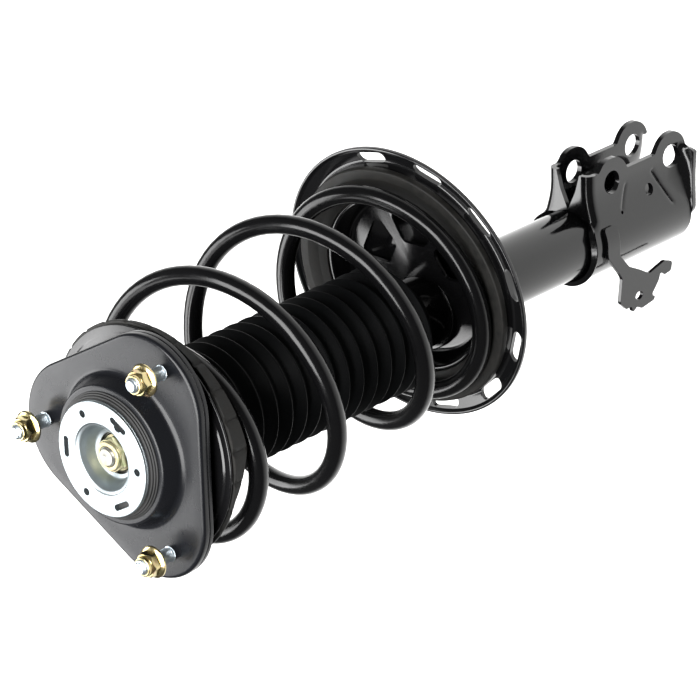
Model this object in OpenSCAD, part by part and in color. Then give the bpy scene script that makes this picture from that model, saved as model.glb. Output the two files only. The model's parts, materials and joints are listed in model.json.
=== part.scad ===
// Front suspension strut assembly: top mount, coil spring, damper and knuckle bracket.
// +Z runs along the damper axis towards the body of the car. z = 0 is the face of the
// mount plate that seats against the strut tower, and the knuckle ears point along +X.

/* [Top mount] */
// Diameter of the circle through the three studs
stud_pcd = 149; // [144:0.5:180]
// Diameter of the stud thread
stud_d = 10; // [8:1:12]
// Height of the stud tips above the seating face
stud_h = 28; // [24:0.5:40]
// Radius of the plate's rounded corners
corner_r = 48.5; // [46:0.5:56]
// Distance from each stud in to the centre of its round corner
corner_inset = 31.5; // [28:0.5:34]
// Thickness of the pressed plates
plate_t = 2.6; // [2:0.1:3.2]
// Depth of the turned-down skirt
skirt_h = 9.5; // [8.5:0.5:13]
// Radius at the foot of the raised centre
dome_foot_r = 56; // [54:0.5:60]
// Height of the raised centre
dome_h = 13; // [9:0.5:14]
// Diameter of the plated disc
disc_d = 80; // [74:1:90]
// Thickness of the plated disc
disc_t = 3.6; // [2:0.2:5]
// Height of the disc's outer face above the seating face
disc_top = 20.7; // [18:0.1:24]
// Diameter of the well that holds the rod nut
well_d = 44; // [40:1:48]

/* [Coil spring] */
// Wire diameter
wire_d = 13.5; // [10:0.5:14]
// Mean radius of the wire's tip, under the top mount
tip_r = 64; // [62:0.5:70]
// Mean radius of the first turn
first_turn_r = 78.7; // [76:0.1:82]
// Mean coil radius below the first turn
coil_r_top = 87; // [84:0.5:92]
// Mean coil radius at the bottom
coil_r_bottom = 76.5; // [74:0.5:77.5]
// Axial length from the top turn to the bottom turn
coil_height = 242.4; // [200:0.1:300]
// Number of turns
coil_turns = 3.95; // [3.5:0.05:5]

/* [Lower spring seat] */
// Radius of the seat's rim
seat_r = 103.8; // [100:0.2:115]
// How far the seat's centre is set towards the ears
seat_offset = 26.3; // [20:0.1:28]
// Lean of the seat away from the ears, in degrees
seat_lean = 8.8; // [4:0.2:10]
// Thickness of the seat pressing
seat_t = 3; // [2:0.2:4]

/* [Damper] */
// Diameter of the piston rod
rod_d = 22; // [18:0.5:24]
// Diameter of the rod's threaded top
rod_thread_d = 14; // [10:1:16]
// Outer diameter of the strut tube
tube_d = 51; // [48:0.5:54]
// Wall of the strut tube
tube_t = 2.5; // [2:0.1:3]
// Bore of the inner cylinder
cylinder_bore = 32; // [28:0.5:34]
// Wall of the inner cylinder
cylinder_t = 1.5; // [1:0.1:2]
// Length of the strut tube
tube_length = 307; // [270:1:390]
// Length of the bump stop
bump_stop_h = 97.5; // [60:0.5:110]
// Radius of the bellows' outer folds
boot_r = 46.5; // [42:0.5:47]
// Number of folds in the bellows
boot_folds = 16; // [10:1:20]

/* [Knuckle bracket] */
// Distance from the damper axis to the bolt axes
bolt_offset = 44.9; // [42:0.1:50]
// Distance between the two bolt axes
bolt_pitch = 69.5; // [60:0.5:80]
// Diameter of the bolt holes
bolt_hole_d = 17.5; // [12:0.5:19]
// Distance between the middle planes of the ears
ear_spacing = 35.4; // [32:0.1:38]
// Thickness of the bracket
bracket_t = 4; // [3:0.2:5]
// Outer radius of the lobes around the bolt holes
lobe_r = 18.5; // [17:0.5:22]
// Height of the bracket along the tube
bracket_h = 113; // [108:1:140]
// Width of the flanges rolled out along the bracket's lower end
flange_w = 12; // [8:0.5:16]
// Thickness of the brake hose tab
tab_t = 3; // [2:0.2:4]
// Diameter of the hole in the brake hose tab
tab_hole_d = 8; // [6:0.5:10]

/* [Hidden] */
$fn = 96;

fit_gap = 0.05;              // running clearance between a shaft and its bore
face_gap = 0.3;              // gap between faces of pieces that move against each other
stud_angles = [90, 210, 330];

// Levels of the top mount, from the seating face down
stud_nut_seat = 14.2;
stud_nut_flange_t = 2;
stud_nut_hex_af = stud_d + 6;
stud_nut_hex_h = 6.4;
stud_nut_collar_h = 2.9;
stud_nut_flange_r = stud_d / 2 + 6.2;
stud_core_r = stud_d / 2 - 0.25;    // root of the thread, under the nut
stud_hole_d = stud_d + 1;
corner_offset = stud_pcd / 2 - corner_inset;
lower_plate_z = -plate_t;
cup_floor = -14;
cup_hole_r = 24;
cup_r = 44;
cup_flare = 4;
sleeve_r = 19;
sleeve_top = 2;
sleeve_bottom = -16;
washer_t = 2.5;
rod_shoulder = sleeve_bottom - washer_t;
rod_nut_h = 11;
rod_nut_af = rod_thread_d + 8;
rod_top = sleeve_top + washer_t + rod_nut_h + 1.5;
dome_slope = 9;
dome_top_r = dome_foot_r - dome_slope;
isolator_r = dome_top_r - plate_t;
disc_under = disc_top - disc_t;

// Bearing and upper spring seat
race_top = cup_floor - plate_t;
race_t = 2.8;
lower_race_t = 3.2;
race_half_w = 6;
ball_r = 2.4;
ball_circle_r = 37;
ball_count = 24;
ball_seat = 0.8;             // how far the balls sit inside each race
ball_z = race_top - race_t - ball_r + ball_seat;
lower_race_top = ball_z - ball_r + ball_seat;
seat_floor_top = lower_race_top - lower_race_t;
upper_seat_t = 2.5;
upper_seat_ring = -16;
upper_seat_r = first_turn_r + 1.3;
upper_seat_floor_r = ball_circle_r + race_half_w + 2;
upper_seat_cone = 6;
upper_seat_lip = 2;
pad_t = 2.8;
pad_bottom = upper_seat_ring - upper_seat_t - pad_t;
pad_collar_h = 11;
pad_collar_t = 3;
pad_rim_r = upper_seat_r + 2;
pad_fill = 0.8;              // how much of the wire's descent the pad's wedge follows

// Spring
wire_r = wire_d / 2;
wire_gap = 0.15;
coil_top = pad_bottom - wire_gap - wire_r;
coil_start_az = 110;
flat_top = 0.2;              // turns before the wire starts to descend
tip_ramp = 0.12;             // turns over which it takes up the first turn's pitch
first_pitch = 50;
body_start = 0.945;          // where the pitch of the body starts to build up
body_ramp = 0.5;
end_ramp = 1;                // turns over which the pitch dies away at the bottom
flat_bottom = 0.14;
slow_start = coil_turns - flat_bottom - end_ramp;
first_mid = flat_top + tip_ramp / 2;
body_mid = body_start + body_ramp / 2;
slow_mid = slow_start + end_ramp / 2;
coil_pitch = (coil_height - first_pitch * (body_mid - first_mid)) / (slow_mid - body_mid);
tip_spread = [0.3, 0.6];     // turns between which the tip opens out to the first turn
body_spread = [0.75, 1.12];  // and between which the first turn opens out to the body
wedge_turns = [0.3, 0.53, 0.6];
wedge_steps = 10;
coil_axis_top = -5;          // the axis of the body's top turn, along X
coil_axis_bottom = seat_offset - 3.3;
coil_axis_bow = 8;           // the axis curves towards the ears by this much
coil_bulge = 3;
lean_az = 195;
rings_per_turn = 28;
wire_sides = 12;

// Lower seat, in its own leaning frame, whose zero height is at the rim
groove_floor = 1;
lower_pad_t = 3;
lower_gap = 0.3;             // the wire's last turn clears the pad by this much
wire_height = groove_floor + lower_pad_t + lower_gap + wire_r;
seat_side = 1.5;             // how far the seat's centre is set to the side
seat_centre = [seat_offset, seat_side, coil_top - coil_height - wire_height / cos(seat_lean)];
groove_clear = 2.35;
groove_r = coil_r_bottom + wire_r + groove_clear;
groove_inner_r = coil_r_bottom - wire_r - groove_clear;
ridge_h = 6.5;
ridge_w = 3.2;
inner_ledge_h = 3.6;
inner_ledge_w = 3;
well_floor = -13;
well_slope = 3.4;
flange_low = -4.6;           // height of the flange at its foot
flange_high = -0.8;          // and where the rolled rim starts
rim_h = 1.4;
slot_count = 7;
slot_first_az = 12;
slot_step = 30;
slot_half = 7.5;
slot_r1 = seat_r - 12.6;
slot_r2 = seat_r - 4.2;
window_az = [-62, 0, 62];
window_r1 = 24;
window_r2 = 49;
window_half = 24;
seat_collar_h = 20;
seat_collar_drop = 34;

// Damper
rod_r = rod_d / 2;
tube_r = tube_d / 2;
tube_bore_r = tube_r - tube_t;
cylinder_r = cylinder_bore / 2;
bump_stop_bottom = rod_shoulder - bump_stop_h;
cap_t = 2.5;
cap_skirt = 14;
tube_top = seat_centre[2] + 22.5;
cap_top = tube_top + cap_t;
tube_bottom = tube_top - tube_length;
lip_t = 2;
seal_h = 6;
guide_h = 16;
spigot_h = 6;
seal_top = tube_top - lip_t;
guide_top = seal_top - seal_h;
guide_bottom = guide_top - guide_h;
end_cap_h = 8;
valve_h = 12;
valve_foot = 6;
cylinder_bottom = tube_bottom + end_cap_h + valve_foot;
rebound_h = 40;
rebound_top = guide_bottom - spigot_h - face_gap;
piston_h = 15;
band_h = 8;
band_t = 1.6;
piston_top = rebound_top - rebound_h;
piston_bottom = piston_top - piston_h;
piston_nut_h = 10;
piston_nut_af = 19;
spigot_r = 6;
spigot_end = 2;              // thread left showing under the piston nut
boot_top = seat_floor_top - upper_seat_t;
boot_wall = 1.6;
boot_depth = 5;
boot_head = 6;               // plain length above the first fold
boot_neck_t = 1.4;
boot_neck_r = tube_r + cap_t + 0.1 + boot_neck_t;
boot_bottom = cap_top - cap_skirt - 2;
boot_folds_end = cap_top - 4;

// Bracket
ear_y = ear_spacing / 2;
ear_in = ear_y - bracket_t / 2;
ear_out = ear_y + bracket_t / 2;
wrap_in = tube_r;
wrap_out = wrap_in + bracket_t;
bracket_overhang = 5;        // how far the bracket reaches below the tube
bracket_bottom = tube_bottom - bracket_overhang;
bracket_top = bracket_bottom + bracket_h;
bolt_lower = bracket_bottom + 16.8;
bolt_upper = bolt_lower + bolt_pitch;
ear_root_x = sqrt(pow(wrap_out - bracket_t / 2, 2) - ear_y * ear_y);
ear_edge_x = bolt_offset + 6.6;
ear_corner = 4;              // the top corner stands out past the edge by this much
back_reach = 60;
back_rise = 5.5;             // the wrap is taller than the ears by this much
lip_w = 2.5;                 // how far the lips round the wrap's ends stand out
notch_x = tube_r + 2.5;      // the flanges at the top meet here, in front of the tube
notch_half = 10;             // half the width of the notch between them at the front
side_hole_d = 9;
side_hole_x = 27.8;
hose_level = bracket_top + 10;
hose_hole = [-46.7, hose_level - 53.6];

// ---------- helpers ----------

module ring(r1, r2, z1, z2) {
    translate([0, 0, z1]) difference() {
        cylinder(r = r2, h = z2 - z1);
        translate([0, 0, -1]) cylinder(r = r1, h = z2 - z1 + 2);
    }
}

module spun(points) {
    rotate_extrude() polygon(points);
}

module at_studs() {
    for (a = stud_angles) rotate(a) translate([stud_pcd / 2, 0, 0]) children();
}

// Triangle with round corners of radius r. Its sides cross the corner circles just inside
// their tangents, so that each meets the arc at a clean point.
module rounded_triangle(r) {
    side_r = r - 0.03;
    for (a = stud_angles) rotate(a) translate([corner_offset, 0]) circle(r = r);
    polygon([for (a = stud_angles, s = [-60, 60])
        corner_offset * [cos(a), sin(a)] + side_r * [cos(a + s), sin(a + s)]]);
}

module triangle_slab(r, z1, z2) {
    translate([0, 0, z1]) linear_extrude(z2 - z1) rounded_triangle(r);
}

module hex(af, h) {
    cylinder(d = af / cos(30), h = h, $fn = 6);
}

// A wedge of a ring between two radii, centred on the +X direction
module ring_slot(r1, r2, half, z1, z2) {
    translate([0, 0, z1]) rotate(-half) rotate_extrude(angle = 2 * half)
        translate([r1, 0]) square([r2 - r1, z2 - z1]);
}

module on_seat() {
    translate(seat_centre) rotate(lean_az) rotate([0, seat_lean, 0]) rotate(-lean_az) children();
}

// ---------- top mount ----------

module mount_plate() {
    foot = dome_foot_r - 1;
    wall_foot = dome_foot_r - 3;
    color("#1b1b1d") {
        difference() {
            triangle_slab(corner_r, -skirt_h, 0);
            triangle_slab(corner_r - plate_t, -skirt_h - 1, -plate_t);
            translate([0, 0, -plate_t - 1]) cylinder(r = foot, h = plate_t + 2);
            at_studs() translate([0, 0, -plate_t - 1]) cylinder(d = stud_hole_d, h = plate_t + 2);
        }
        spun([
            [foot, 0], [wall_foot, 1], [dome_top_r + 1, dome_h],
            [dome_top_r - plate_t, dome_h], [wall_foot - plate_t, -plate_t], [foot, -plate_t]
        ]);
    }
}

module mount_lower_plate() {
    r_in = corner_r - plate_t - 0.2;
    under = lower_plate_z - plate_t;
    neck_r = cup_r + cup_flare;
    color("#232325") {
        difference() {
            triangle_slab(r_in, under, lower_plate_z);
            translate([0, 0, under - 1]) cylinder(r = neck_r, h = plate_t + 2);
            at_studs() translate([0, 0, under - 1]) cylinder(d = stud_hole_d, h = plate_t + 2);
        }
        spun([
            [neck_r, lower_plate_z], [cup_r, cup_floor], [cup_hole_r, cup_floor],
            [cup_hole_r, cup_floor - plate_t], [cup_r + 2, cup_floor - plate_t],
            [neck_r + plate_t, under], [neck_r + plate_t, lower_plate_z]
        ]);
    }
}

module mount_isolator() {
    well_r = well_d / 2 + 2;
    shoulder = 2;
    color("#141415") spun([
        [sleeve_r, sleeve_top], [sleeve_r, cup_floor], [cup_r, cup_floor],
        [cup_r + cup_flare, lower_plate_z], [dome_foot_r - 3 - plate_t, -plate_t], [isolator_r, dome_h],
        [isolator_r - shoulder, disc_under - 1], [isolator_r - 2 * shoulder, disc_under],
        [well_r, disc_under], [well_r, sleeve_top + 3]
    ]);
}

module mount_inner_sleeve() {
    color("#8c8c8a") ring(rod_thread_d / 2, sleeve_r, sleeve_bottom, sleeve_top);
}

module cover_disc() {
    lip_r = well_d / 2 - 2;
    lip_t = 1.6;
    lip_end = disc_top - 10;
    slot_r = disc_d / 2 - 6.5;
    slot_w = 4.6;
    slot_half = 13;
    hole_d = 5.5;
    hole_r = slot_r - 1.2;
    rim_mid = disc_top - disc_t / 2;
    rim_groove = 0.5;
    color("#dfe2e4") {
        difference() {
            ring(well_d / 2, disc_d / 2, disc_under, disc_top);
            ring(disc_d / 2 - 0.8, disc_d / 2 + 1, rim_mid - rim_groove / 2, rim_mid + rim_groove / 2);
            for (a = stud_angles) {
                rotate(a) ring_slot(slot_r - slot_w / 2, slot_r + slot_w / 2, slot_half,
                                    disc_under - 1, disc_top + 1);
                rotate(a + 60) translate([hole_r, 0, disc_under - 1]) cylinder(d = hole_d, h = disc_t + 2);
            }
        }
        spun([
            [well_d / 2, disc_top], [well_d / 2, disc_under], [lip_r + lip_t, disc_under - 1],
            [lip_r + lip_t, lip_end], [lip_r, lip_end], [lip_r, disc_top - 2],
            [lip_r + 0.6, disc_top - 0.6]
        ]);
    }
}

module mount_studs() {
    head_r = stud_d / 2 + 3;
    head_h = 3;
    under = lower_plate_z - plate_t;
    thread_end = stud_nut_seat - 0.2;
    color("#b9c4cf") at_studs() {
        translate([0, 0, under - head_h]) cylinder(r = head_r, h = head_h);
        translate([0, 0, under]) cylinder(d = stud_hole_d, h = -under);
        cylinder(d = stud_d, h = thread_end);
        translate([0, 0, thread_end]) cylinder(r = stud_core_r, h = stud_h - thread_end);
    }
}

module stud_nuts() {
    hex_z = stud_nut_seat + stud_nut_flange_t;
    collar_z = hex_z + stud_nut_hex_h;
    collar_top = collar_z + stud_nut_collar_h;
    color("#c9b27a") at_studs() difference() {
        union() {
            translate([0, 0, stud_nut_seat]) cylinder(r = stud_nut_flange_r, h = stud_nut_flange_t);
            translate([0, 0, hex_z]) hex(stud_nut_hex_af, stud_nut_hex_h);
            translate([0, 0, collar_z]) cylinder(r = stud_d / 2 + 1.7, h = stud_nut_collar_h);
        }
        translate([0, 0, stud_nut_seat - 1]) cylinder(r = stud_core_r, h = collar_top - stud_nut_seat + 2);
    }
}

module rod_washer() {
    color("#9b9a92") ring(rod_thread_d / 2, sleeve_r - 3, sleeve_top, sleeve_top + washer_t);
}

module rod_nut() {
    z0 = sleeve_top + washer_t;
    flange_t = 2;
    collar_t = 2;
    color("#bfae7c") difference() {
        union() {
            translate([0, 0, z0]) cylinder(d = rod_nut_af + 5, h = flange_t);
            translate([0, 0, z0 + flange_t]) hex(rod_nut_af, rod_nut_h - flange_t - collar_t);
            translate([0, 0, z0 + rod_nut_h - collar_t]) cylinder(d = rod_thread_d + 4, h = collar_t);
        }
        translate([0, 0, z0 - 1]) cylinder(d = rod_thread_d, h = rod_nut_h + 2);
    }
}

module lower_washer() {
    color("#9b9a92") ring(rod_thread_d / 2, cup_hole_r - 2, rod_shoulder, sleeve_bottom);
}

// ---------- bearing and upper spring seat ----------

module ball_groove(r) {
    rotate_extrude() translate([ball_circle_r, ball_z]) circle(r = r);
}

module bearing_upper_race() {
    color("#c4c6c8") difference() {
        ring(ball_circle_r - race_half_w, ball_circle_r + race_half_w, race_top - race_t, race_top);
        ball_groove(ball_r + fit_gap);
    }
}

module bearing_balls() {
    color("#d8dadc") for (i = [0 : ball_count - 1])
        rotate(i * 360 / ball_count) translate([ball_circle_r, 0, ball_z]) sphere(r = ball_r, $fn = 24);
}

module bearing_lower_race() {
    color("#c4c6c8") difference() {
        ring(ball_circle_r - race_half_w, ball_circle_r + race_half_w, seat_floor_top, lower_race_top);
        ball_groove(ball_r + fit_gap);
    }
}

module upper_spring_seat() {
    bore = cup_hole_r + 2;
    floor_r = upper_seat_floor_r;
    floor_under = seat_floor_top - upper_seat_t;
    ring_under = upper_seat_ring - upper_seat_t;
    cone_w = upper_seat_cone;
    color("#161617") spun([
        [bore, seat_floor_top], [floor_r, seat_floor_top], [floor_r + cone_w, upper_seat_ring],
        [upper_seat_r - 1, upper_seat_ring], [upper_seat_r, upper_seat_ring - 1],
        [upper_seat_r, ring_under - 0.5], [upper_seat_r - upper_seat_lip, ring_under - 0.5],
        [upper_seat_r - upper_seat_lip, ring_under], [floor_r + cone_w + 1.4, ring_under],
        [floor_r + 1.4, floor_under], [bore, floor_under]
    ]);
}

// Depth of the pad's wedge, which fills the space that opens above the descending wire
function wedge_depth(u) = let (w = wedge_turns)
    pad_fill * (u < w[1] ? coil_drop(u) : coil_drop(w[1]) * (w[2] - u) / (w[2] - w[1]));

module upper_insulator() {
    top = upper_seat_ring - upper_seat_t;
    collar_r = tip_r - wire_r - 0.9;
    lip_r = upper_seat_r - upper_seat_lip;
    step = (wedge_turns[2] - wedge_turns[0]) / wedge_steps;
    color("#1d1d1c") {
        spun([
            [collar_r - pad_collar_t, top], [lip_r, top], [lip_r, top - 0.6], [pad_rim_r, top - 0.6],
            [pad_rim_r, pad_bottom], [collar_r, pad_bottom], [collar_r, pad_bottom - pad_collar_h],
            [collar_r - pad_collar_t, pad_bottom - pad_collar_h]
        ]);
        for (i = [0 : wedge_steps - 1]) {
            u = wedge_turns[0] + i * step;
            depth = min(wedge_depth(u), wedge_depth(u + step));
            if (depth > 0.2) rotate(coil_start_az - 360 * (u + step / 2))
                ring_slot(collar_r - pad_collar_t + 1, pad_rim_r, 180 * step, pad_bottom - depth, pad_bottom + 1);
        }
    }
}

// ---------- coil spring ----------

function eased(t) = t <= 0 ? 0 : t >= 1 ? 1 : t * t * (3 - 2 * t);
function spread(u, turns) = eased((u - turns[0]) / (turns[1] - turns[0]));
function blended(a, b, s) = a + (b - a) * s;
function bowed(a, b, m, f) = blended(a, b, f) + 4 * m * f * (1 - f);

// Turns travelled after u turns of a descent that takes w turns to build up
function ramped(u, w) = u <= 0 ? 0 : u < w ? u * u / (2 * w) : u - w / 2;
function coil_drop(u) = first_pitch * ramped(u - flat_top, tip_ramp)
    + (coil_pitch - first_pitch) * ramped(u - body_start, body_ramp)
    - coil_pitch * ramped(u - slow_start, end_ramp);

function coil_point(u) =
    let (d = coil_drop(u), f = d / coil_height, az = coil_start_az - 360 * u, s = spread(u, body_spread),
         r = blended(blended(tip_r, first_turn_r, spread(u, tip_spread)),
                     bowed(coil_r_top, coil_r_bottom, coil_bulge, f), s),
         axis_x = s * bowed(coil_axis_top, coil_axis_bottom, coil_axis_bow, f),
         x = axis_x + r * cos(az), y = seat_side * f + r * sin(az),
         lean = f * tan(seat_lean) * ((x - seat_offset) * cos(lean_az) + (y - seat_side) * sin(lean_az)))
    [x, y, coil_top - d - lean];

function unit(v) = v / norm(v);

function coil_ring(u) =
    let (e = 0.002, t = unit(coil_point(u + e) - coil_point(u - e)), az = coil_start_az - 360 * u,
         side = unit(cross(t, [cos(az), sin(az), 0])), out = cross(side, t), c = coil_point(u))
    [for (k = [0 : wire_sides - 1])
        let (p = 360 * k / wire_sides) c + wire_r * (cos(p) * out + sin(p) * side)];

module coil_spring() {
    n = round(coil_turns * rings_per_turn);
    rings = [for (i = [0 : n]) coil_ring(coil_turns * i / n)];
    points = [for (r = rings) each r];
    m = wire_sides;
    sides = [for (i = [0 : n - 1], k = [0 : m - 1])
        [i * m + k, i * m + (k + 1) % m, (i + 1) * m + (k + 1) % m, (i + 1) * m + k]];
    first = [for (k = [0 : m - 1]) m - 1 - k];
    last = [for (k = [0 : m - 1]) n * m + k];
    color("#101011") polyhedron(points, concat([first], sides, [last]));
}

// ---------- boot and bump stop ----------

module dust_boot() {
    first = boot_top - boot_head;
    fold = (first - boot_folds_end) / boot_folds;
    valley = boot_r - boot_depth;
    neck_in = boot_neck_r - boot_neck_t;
    outer = [for (i = [0 : boot_folds - 1], s = [[0, valley], [0.5, boot_r]])
        [s[1], first - (i + s[0]) * fold]];
    inner = [for (i = [boot_folds - 1 : -1 : 0], s = [[0.5, boot_r], [0, valley]])
        [s[1] - boot_wall, first - (i + s[0]) * fold]];
    color("#1c1d1e") spun(concat(
        [[valley, boot_top]], outer,
        [[valley, boot_folds_end], [boot_neck_r, boot_folds_end - 4], [boot_neck_r, boot_bottom],
         [neck_in, boot_bottom], [neck_in, boot_folds_end - 2.5], [valley - boot_wall, boot_folds_end + 1]],
        inner,
        [[valley - boot_wall, boot_top]]));
}

module bump_stop() {
    lobes = 4;
    wall = 10;
    taper = 0.9;
    waist = 4;
    lobe_h = (bump_stop_h - 6) / lobes;
    outer = [for (i = [0 : lobes - 1], s = [[0.12, 0], [0.72, 0], [0.86, waist]])
        [rod_r + wall - taper * i - s[1], rod_shoulder - 2 - (i + s[0]) * lobe_h]];
    color("#c9b98a") spun(concat(
        [[rod_r, rod_shoulder], [rod_r + wall - 2, rod_shoulder]], outer,
        [[rod_r + 4, bump_stop_bottom + 2], [rod_r + 2.5, bump_stop_bottom], [rod_r, bump_stop_bottom]]));
}

module bump_cap() {
    color("#2b2b2d") difference() {
        translate([0, 0, cap_top - cap_skirt]) cylinder(r = tube_r + cap_t, h = cap_skirt);
        translate([0, 0, cap_top - cap_skirt - 1]) cylinder(r = tube_r, h = cap_skirt + 1 - cap_t);
        translate([0, 0, cap_top - cap_t - 1]) cylinder(r = rod_r + 2, h = cap_t + 2);
    }
}

// ---------- damper ----------

module piston_rod() {
    spigot_h = piston_h + piston_nut_h + spigot_end;
    color("#b4b6b8") {
        translate([0, 0, rod_shoulder]) cylinder(d = rod_thread_d, h = rod_top - rod_shoulder);
        translate([0, 0, piston_top]) cylinder(r = rod_r, h = rod_shoulder - piston_top);
        translate([0, 0, piston_top - spigot_h]) cylinder(r = spigot_r, h = spigot_h);
    }
}

module rebound_stop() {
    color("#5b5b5e") ring(rod_r, cylinder_r - 1, piston_top, rebound_top);
}

module piston() {
    groove_z = piston_bottom + (piston_h - band_h) / 2;
    port_r = 1.6;
    port_offset = (spigot_r + cylinder_r) / 2 - 0.5;
    color("#8f8f92") difference() {
        ring(spigot_r, cylinder_r - 0.4, piston_bottom, piston_top);
        ring(cylinder_r - band_t, cylinder_r + 1, groove_z, groove_z + band_h);
        for (a = [0 : 60 : 300]) rotate(a) translate([port_offset, 0, piston_bottom - 1])
            cylinder(r = port_r, h = piston_h + 2, $fn = 32);
    }
}

module piston_band() {
    band_z = piston_bottom + (piston_h - band_h) / 2;
    color("#3c3a38") ring(cylinder_r - band_t, cylinder_r - fit_gap, band_z, band_z + band_h);
}

module piston_nut() {
    color("#77777a") translate([0, 0, piston_bottom - piston_nut_h]) difference() {
        hex(piston_nut_af, piston_nut_h);
        translate([0, 0, -1]) cylinder(r = spigot_r, h = piston_nut_h + 2);
    }
}

module strut_tube() {
    color("#0e0e0f") {
        ring(tube_bore_r, tube_r, tube_bottom, tube_top);
        ring(rod_r + 3, tube_bore_r, seal_top, tube_top);
    }
}

module inner_cylinder() {
    color("#7e7e80") ring(cylinder_r, cylinder_r + cylinder_t, cylinder_bottom, guide_bottom);
}

module rod_guide() {
    color("#99999c") difference() {
        union() {
            translate([0, 0, guide_bottom]) cylinder(r = tube_bore_r, h = guide_h);
            translate([0, 0, guide_bottom - spigot_h]) cylinder(r = cylinder_r, h = spigot_h);
        }
        translate([0, 0, guide_bottom - spigot_h - 1])
            cylinder(r = rod_r + fit_gap, h = guide_h + spigot_h + 2);
    }
}

module oil_seal() {
    color("#222224") ring(rod_r + fit_gap, tube_bore_r, guide_top, seal_top);
}

module base_valve() {
    color("#8a8a8d") {
        translate([0, 0, cylinder_bottom]) cylinder(r = cylinder_r, h = valve_h);
        translate([0, 0, cylinder_bottom - valve_foot]) cylinder(r = cylinder_r - 5, h = valve_foot);
    }
}

module tube_end_cap() {
    color("#0e0e0f") translate([0, 0, tube_bottom]) cylinder(r = tube_bore_r, h = end_cap_h);
}

// ---------- lower spring seat ----------

module seat_profile() {
    ledge_in = groove_inner_r - inner_ledge_w;
    ridge_out = groove_r + ridge_w;
    spun([
        [0, well_floor], [ledge_in - well_slope, well_floor], [ledge_in, inner_ledge_h],
        [groove_inner_r, inner_ledge_h], [groove_inner_r, groove_floor], [groove_r, groove_floor],
        [groove_r, ridge_h], [ridge_out, ridge_h],
        [slot_r1 - 0.2, flange_low], [seat_r - 3.8, flange_high], [seat_r - 1.8, rim_h], [seat_r, rim_h],
        [seat_r, rim_h - seat_t], [seat_r - 3, flange_high - seat_t], [slot_r1 - 0.8, flange_low - seat_t],
        [groove_r + 1.5, groove_floor - seat_t], [groove_inner_r - 0.6, groove_floor - seat_t],
        [ledge_in - 0.6, well_floor - seat_t], [0, well_floor - seat_t]
    ]);
}

module lower_spring_seat() {
    color("#111112") difference() {
        union() {
            on_seat() difference() {
                seat_profile();
                for (i = [0 : slot_count - 1]) rotate(slot_first_az - i * slot_step)
                    ring_slot(slot_r1, slot_r2, slot_half, flange_low - seat_t - 5, rim_h + 5);
                for (a = window_az) rotate(a)
                    ring_slot(window_r1, window_r2, window_half, well_floor - seat_t - 5, well_floor + 5);
            }
            translate([0, 0, seat_centre[2] - seat_collar_drop])
                cylinder(r = tube_r + seat_t, h = seat_collar_h);
        }
        translate([0, 0, tube_bottom]) cylinder(r = tube_r, h = tube_length);
    }
}

module lower_insulator() {
    color("#191918") on_seat()
        ring(groove_inner_r, groove_r, groove_floor, groove_floor + lower_pad_t);
}

// ---------- knuckle bracket ----------

// Cross-section of the bracket: a wrap around the tube that runs out into two ears
module bracket_section() {
    reach = bolt_offset + lobe_r + 20;
    difference() {
        union() {
            circle(r = wrap_out);
            translate([0, -ear_out]) square([reach, 2 * ear_out]);
        }
        circle(r = wrap_in);
        translate([ear_root_x - bracket_t / 2, -ear_in]) square([reach, 2 * ear_in]);
    }
}

// Outline of the bracket seen from the side, in the XZ plane
module ear_outline() {
    for (z = [bolt_upper, bolt_lower]) translate([bolt_offset, z]) circle(r = lobe_r);
    polygon([
        [-back_reach, bracket_bottom], [ear_edge_x - 8, bracket_bottom], [ear_edge_x, bolt_lower],
        [ear_edge_x, bolt_upper], [ear_edge_x + ear_corner, bracket_top - 8],
        [ear_edge_x + ear_corner, bracket_top], [ear_root_x, bracket_top], [0, bracket_top + back_rise],
        [-back_reach, bracket_top + back_rise]
    ]);
}

// Flanges that turn in towards each other from the ears' top edges, with a notch between them
module top_flange_outline() {
    front = ear_edge_x + ear_corner;
    polygon([
        [ear_root_x - 2, -ear_y], [front - 1, -ear_y], [front - 3, -notch_half], [notch_x, 0],
        [front - 3, notch_half], [front - 1, ear_y], [ear_root_x - 2, ear_y]
    ]);
}

// Extrudes an outline in the XZ plane through the whole bracket, along Y
module through_y() {
    half = wrap_out + lip_w + 10;
    rotate([90, 0, 0]) translate([0, 0, -half]) linear_extrude(2 * half) children();
}

// A lip round the wrap that starts at height z and runs as far forward as x
module wrap_lip(z, x) {
    intersection() {
        ring(wrap_in, wrap_out + lip_w, z, z + bracket_t);
        translate([-back_reach, -back_reach, z - 1]) cube([back_reach + x, 2 * back_reach, bracket_t + 2]);
    }
}

module knuckle_bracket() {
    section_h = bracket_h + back_rise;
    color("#0f0f10") difference() {
        union() {
            intersection() {
                translate([0, 0, bracket_bottom - 1]) linear_extrude(section_h + 1) bracket_section();
                through_y() ear_outline();
            }
            wrap_lip(bracket_top + back_rise - bracket_t, 0);
            wrap_lip(bracket_bottom, ear_root_x);
            translate([0, 0, bracket_top - bracket_t]) linear_extrude(bracket_t) top_flange_outline();
            for (s = [-1, 1])
                translate([ear_root_x - 4, s * (ear_y + flange_w / 2) - flange_w / 2, bracket_bottom])
                    cube([ear_edge_x - ear_root_x - 4, flange_w, bracket_t]);
        }
        through_y() {
            for (z = [bolt_upper, bolt_lower]) translate([bolt_offset, z]) circle(d = bolt_hole_d);
        }
        translate([side_hole_x, 0, (bolt_upper + bolt_lower) / 2 - 6]) rotate([90, 0, 0])
            cylinder(d = side_hole_d, h = ear_out + flange_w);
        translate([0, 0, bracket_bottom - 1]) cylinder(r = wrap_in, h = section_h + 2);
    }
}

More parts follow.
